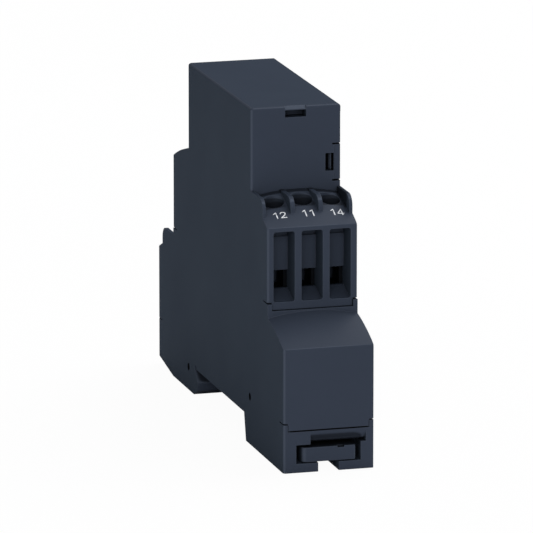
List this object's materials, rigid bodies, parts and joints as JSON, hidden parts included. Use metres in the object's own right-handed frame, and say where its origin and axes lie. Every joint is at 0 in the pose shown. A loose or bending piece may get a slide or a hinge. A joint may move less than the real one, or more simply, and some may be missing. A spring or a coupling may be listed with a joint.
{
  "type": "three-phase control relay",
  "caption": "Slim rail-mounted relay module for watching a three-phase supply, with stepped screw terminals at both ends and a sprung rail clip.",
  "frame": {"origin": "middle of the rail side, on the plane of the feet", "axes": "+X across the width towards the side cover, +Y along the device towards the far terminals, +Z from the rail to the front face"},
  "size_m": [0.0176, 0.09, 0.065],
  "materials": {
    "case_plastic": "fine-grained moulded, dark slate",
    "zinc_steel": "zinc plated",
    "tinned_brass": "tinned",
    "board_laminate": "solder mask",
    "relay_plastic": "moulded",
    "bobbin_plastic": "moulded",
    "copper_winding": "lacquered copper wire",
    "relay_iron": "nickel plated",
    "contact_alloy": "rolled spring alloy",
    "capacitor_box": "moulded box",
    "resistor_ceramic": "lacquered",
    "varistor_coat": "dipped coat",
    "capacitor_can": "drawn can",
    "chip_resin": "moulded resin"
  },
  "bodies": {
    "relay_body": {"housing": "case_plastic", "side_cover": "case_plastic", "front_plate": "case_plastic", "terminal_block_near": "case_plastic", "terminal_block_far": "case_plastic", "blank_cover_near": "case_plastic", "blank_cover_far": "case_plastic", "contact_bar_near_left": "tinned_brass", "contact_bar_near_middle": "tinned_brass", "contact_bar_near_right": "tinned_brass", "contact_bar_far_left": "tinned_brass", "contact_bar_far_middle": "tinned_brass", "contact_bar_far_right": "tinned_brass", "main_board": "board_laminate", "phase_capacitors": "capacitor_box", "dropper_resistors": "resistor_ceramic", "varistors": "varistor_coat", "smoothing_capacitor": "capacitor_can", "controller_chip": "chip_resin", "rectifier": "chip_resin", "relay_base": "relay_plastic", "relay_cover": "relay_plastic", "relay_bobbin": "bobbin_plastic", "relay_coil": "copper_winding", "relay_core": "relay_iron", "relay_yoke": "relay_iron", "relay_contact_closed": "contact_alloy", "relay_contact_open": "contact_alloy"},
    "clip": {"rail_clip": "case_plastic"},
    "armature": {"relay_armature": "relay_iron", "relay_moving_contact": "contact_alloy"},
    "screw_near_left": {"terminal_screw_near_left": "zinc_steel"},
    "cage_near_left": {"clamp_cage_near_left": "zinc_steel"},
    "screw_near_middle": {"terminal_screw_near_middle": "zinc_steel"},
    "cage_near_middle": {"clamp_cage_near_middle": "zinc_steel"},
    "screw_near_right": {"terminal_screw_near_right": "zinc_steel"},
    "cage_near_right": {"clamp_cage_near_right": "zinc_steel"},
    "screw_far_left": {"terminal_screw_far_left": "zinc_steel"},
    "cage_far_left": {"clamp_cage_far_left": "zinc_steel"},
    "screw_far_middle": {"terminal_screw_far_middle": "zinc_steel"},
    "cage_far_middle": {"clamp_cage_far_middle": "zinc_steel"},
    "screw_far_right": {"terminal_screw_far_right": "zinc_steel"},
    "cage_far_right": {"clamp_cage_far_right": "zinc_steel"}
  },
  "joints": [
    {"name": "clip_slide", "type": "slide", "parent": "relay_body", "child": "clip", "axis": [0, -1, 0], "range_m": [0, 0.0032], "stiffness_N_per_m": 600, "springref_m": -0.001},
    {"name": "armature_tilt", "type": "hinge", "parent": "relay_body", "child": "armature", "pos_m": [0.0039, 0.0106, 0.048], "axis": [0, 0, 1], "range_deg": [0, 5], "stiffness_Nm_per_rad": 0.01, "springref_deg": -2.86},
    {"name": "screw_turn_near_left", "type": "hinge", "parent": "relay_body", "child": "screw_near_left", "pos_m": [-0.00545, -0.02595, 0.0419], "axis": [0, 0, -1], "range_deg": [0, 1800.01]},
    {"name": "cage_lift_near_left", "type": "slide", "parent": "relay_body", "child": "cage_near_left", "axis": [0, 0, 1], "range_m": [0, 0.0025]},
    {"name": "screw_turn_near_middle", "type": "hinge", "parent": "relay_body", "child": "screw_near_middle", "pos_m": [0, -0.02595, 0.0419], "axis": [0, 0, -1], "range_deg": [0, 1800.01]},
    {"name": "cage_lift_near_middle", "type": "slide", "parent": "relay_body", "child": "cage_near_middle", "axis": [0, 0, 1], "range_m": [0, 0.0025]},
    {"name": "screw_turn_near_right", "type": "hinge", "parent": "relay_body", "child": "screw_near_right", "pos_m": [0.00545, -0.02595, 0.0419], "axis": [0, 0, -1], "range_deg": [0, 1800.01]},
    {"name": "cage_lift_near_right", "type": "slide", "parent": "relay_body", "child": "cage_near_right", "axis": [0, 0, 1], "range_m": [0, 0.0025]},
    {"name": "screw_turn_far_left", "type": "hinge", "parent": "relay_body", "child": "screw_far_left", "pos_m": [-0.00545, 0.03711, 0.02125], "axis": [0, 0, -1], "range_deg": [0, 1800.01]},
    {"name": "cage_lift_far_left", "type": "slide", "parent": "relay_body", "child": "cage_far_left", "axis": [0, 0, 1], "range_m": [0, 0.0025]},
    {"name": "screw_turn_far_middle", "type": "hinge", "parent": "relay_body", "child": "screw_far_middle", "pos_m": [0, 0.03711, 0.02125], "axis": [0, 0, -1], "range_deg": [0, 1800.01]},
    {"name": "cage_lift_far_middle", "type": "slide", "parent": "relay_body", "child": "cage_far_middle", "axis": [0, 0, 1], "range_m": [0, 0.0025]},
    {"name": "screw_turn_far_right", "type": "hinge", "parent": "relay_body", "child": "screw_far_right", "pos_m": [0.00545, 0.03711, 0.02125], "axis": [0, 0, -1], "range_deg": [0, 1800.01]},
    {"name": "cage_lift_far_right", "type": "slide", "parent": "relay_body", "child": "cage_far_right", "axis": [0, 0, 1], "range_m": [0, 0.0025]}
  ],
  "couplings": [
    {"joint": "screw_turn_near_left", "follows": "cage_lift_near_left", "rad_per_m": 12566},
    {"joint": "screw_turn_near_middle", "follows": "cage_lift_near_middle", "rad_per_m": 12566},
    {"joint": "screw_turn_near_right", "follows": "cage_lift_near_right", "rad_per_m": 12566},
    {"joint": "screw_turn_far_left", "follows": "cage_lift_far_left", "rad_per_m": 12566},
    {"joint": "screw_turn_far_middle", "follows": "cage_lift_far_middle", "rad_per_m": 12566},
    {"joint": "screw_turn_far_right", "follows": "cage_lift_far_right", "rad_per_m": 12566}
  ]
}
